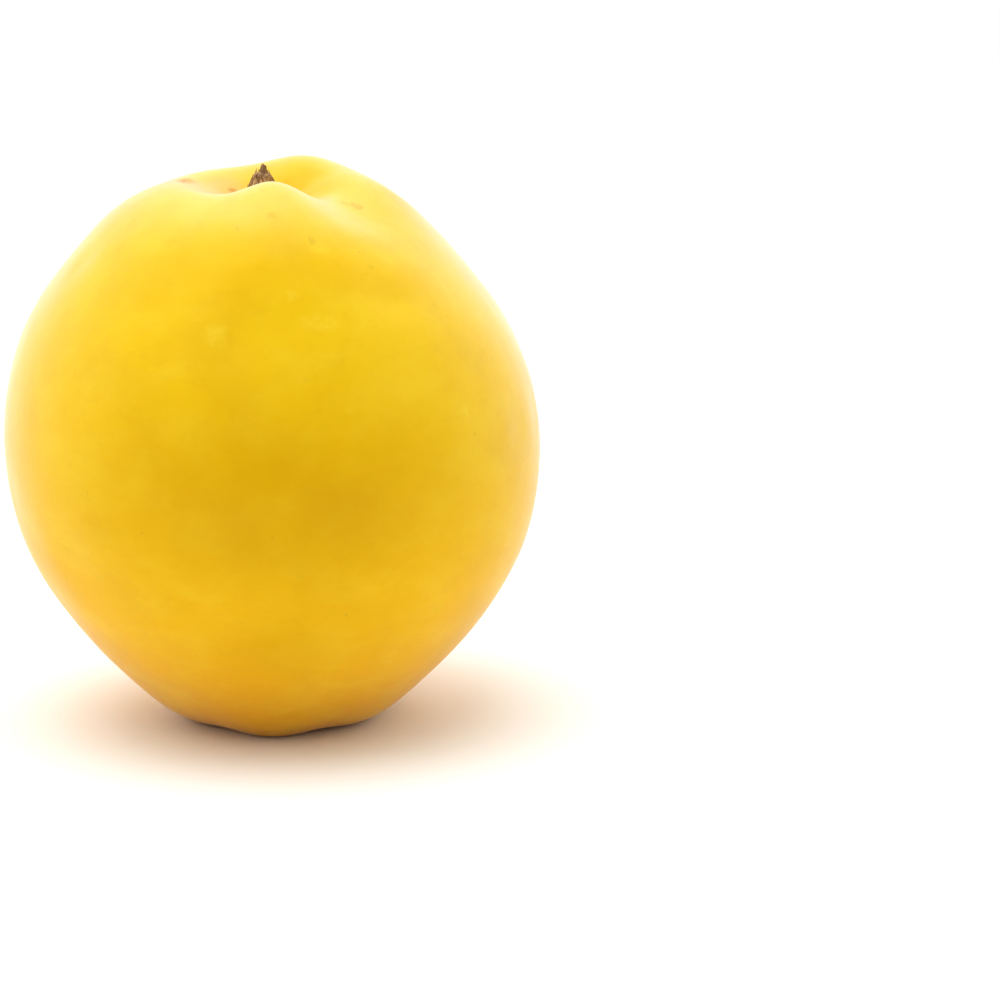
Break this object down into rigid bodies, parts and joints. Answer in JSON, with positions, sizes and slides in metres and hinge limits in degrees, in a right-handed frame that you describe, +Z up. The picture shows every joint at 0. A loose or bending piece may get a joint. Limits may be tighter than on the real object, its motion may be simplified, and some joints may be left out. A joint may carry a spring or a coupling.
{
  "type": "quince",
  "caption": "Whole ripe quince, rounded and slightly lobed, with a torn woody stub in its stem basin and a dried calyx in the basin that it stands on.",
  "frame": {"origin": "on the surface that the fruit stands on, under the middle of its bounding box", "axes": "+Z up towards the stalk, +X to the right and -Y towards the viewer as in the picture"},
  "size_m": [0.0878, 0.0877, 0.0918],
  "materials": {
    "skin": "satin, waxy, golden yellow with a faint mottle",
    "stub_wood": "raw, torn and fibrous",
    "dried_calyx": "dry and papery"
  },
  "bodies": {
    "root": {"fruit": "skin", "stem_stub": "stub_wood", "calyx": "dried_calyx"}
  },
  "joints": []
}
